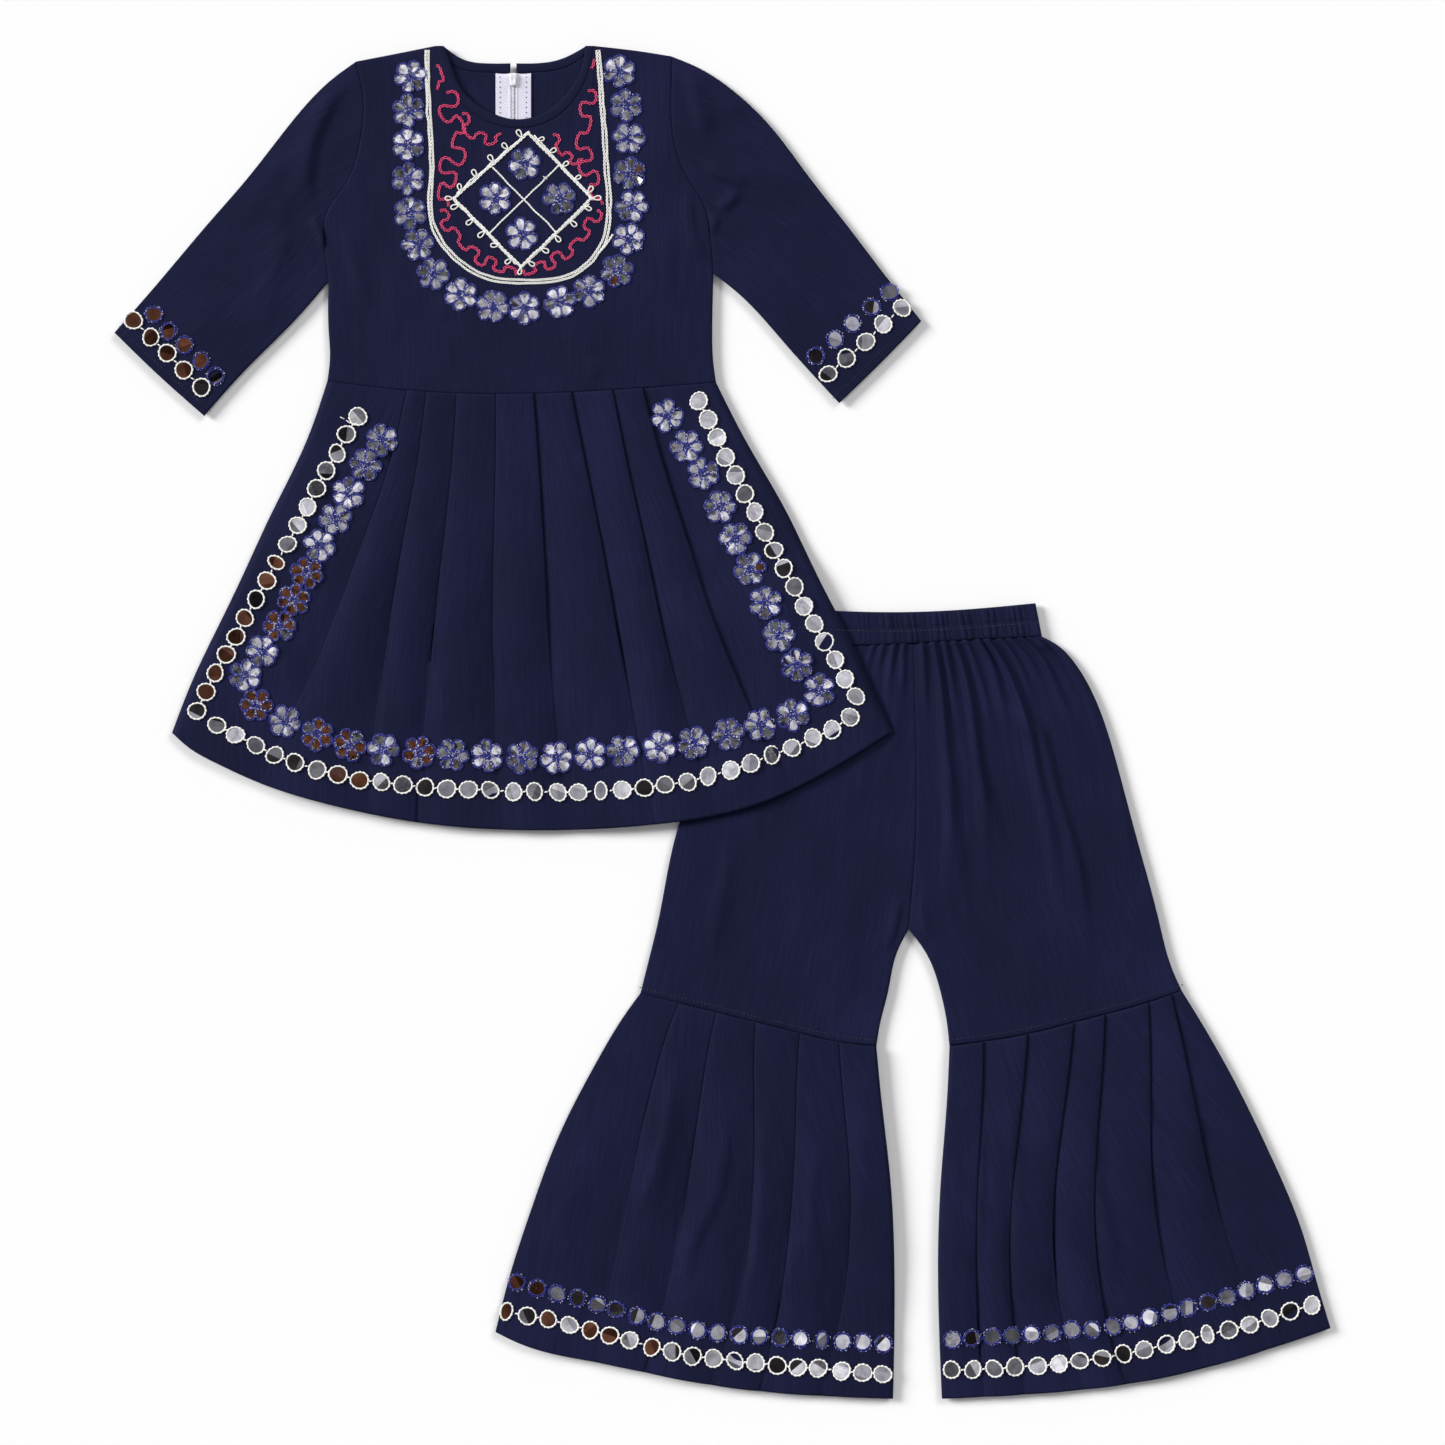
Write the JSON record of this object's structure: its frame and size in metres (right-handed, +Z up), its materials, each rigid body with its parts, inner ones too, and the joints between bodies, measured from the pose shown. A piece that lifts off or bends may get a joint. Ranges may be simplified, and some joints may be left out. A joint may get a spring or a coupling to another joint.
{
  "type": "sharara suit",
  "caption": "Young child's navy sharara suit laid flat: a long-waisted kurti with a pleated skirt and three-quarter sleeves lying over a flared, pleated sharara with an elastic waist.",
  "frame": {"origin": "middle of the suit's plan box, on the surface it lies on", "axes": "+Z up from the surface, +Y towards the kurti's collar, +X to the right as seen from above"},
  "size_m": [0.9477, 1.0539, 0.0098],
  "materials": {
    "navy_cloth": "soft matt woven rayon",
    "zip_tape": "white woven tape",
    "zip_plastic": "white moulded nylon",
    "mirror_foil": "bright silver foil discs",
    "white_thread": "white embroidery thread",
    "blue_thread": "royal blue embroidery thread",
    "pink_thread": "pink embroidery thread"
  },
  "bodies": {
    "root": {"bodice_front": "navy_cloth", "bodice_back_left": "navy_cloth", "bodice_back_right": "navy_cloth", "sleeve_left": "navy_cloth", "sleeve_right": "navy_cloth", "skirt_front": "navy_cloth", "skirt_back": "navy_cloth", "neck_binding_front": "navy_cloth", "neck_binding_back_left": "navy_cloth", "neck_binding_back_right": "navy_cloth", "zip_tape_left": "zip_tape", "zip_tape_right": "zip_tape", "zip_coil": "zip_plastic", "zip_slider": "zip_plastic", "waistband": "navy_cloth", "thigh_left_front": "navy_cloth", "thigh_left_back": "navy_cloth", "thigh_right_front": "navy_cloth", "thigh_right_back": "navy_cloth", "flare_left": "navy_cloth", "flare_right": "navy_cloth"}
  },
  "joints": []
}
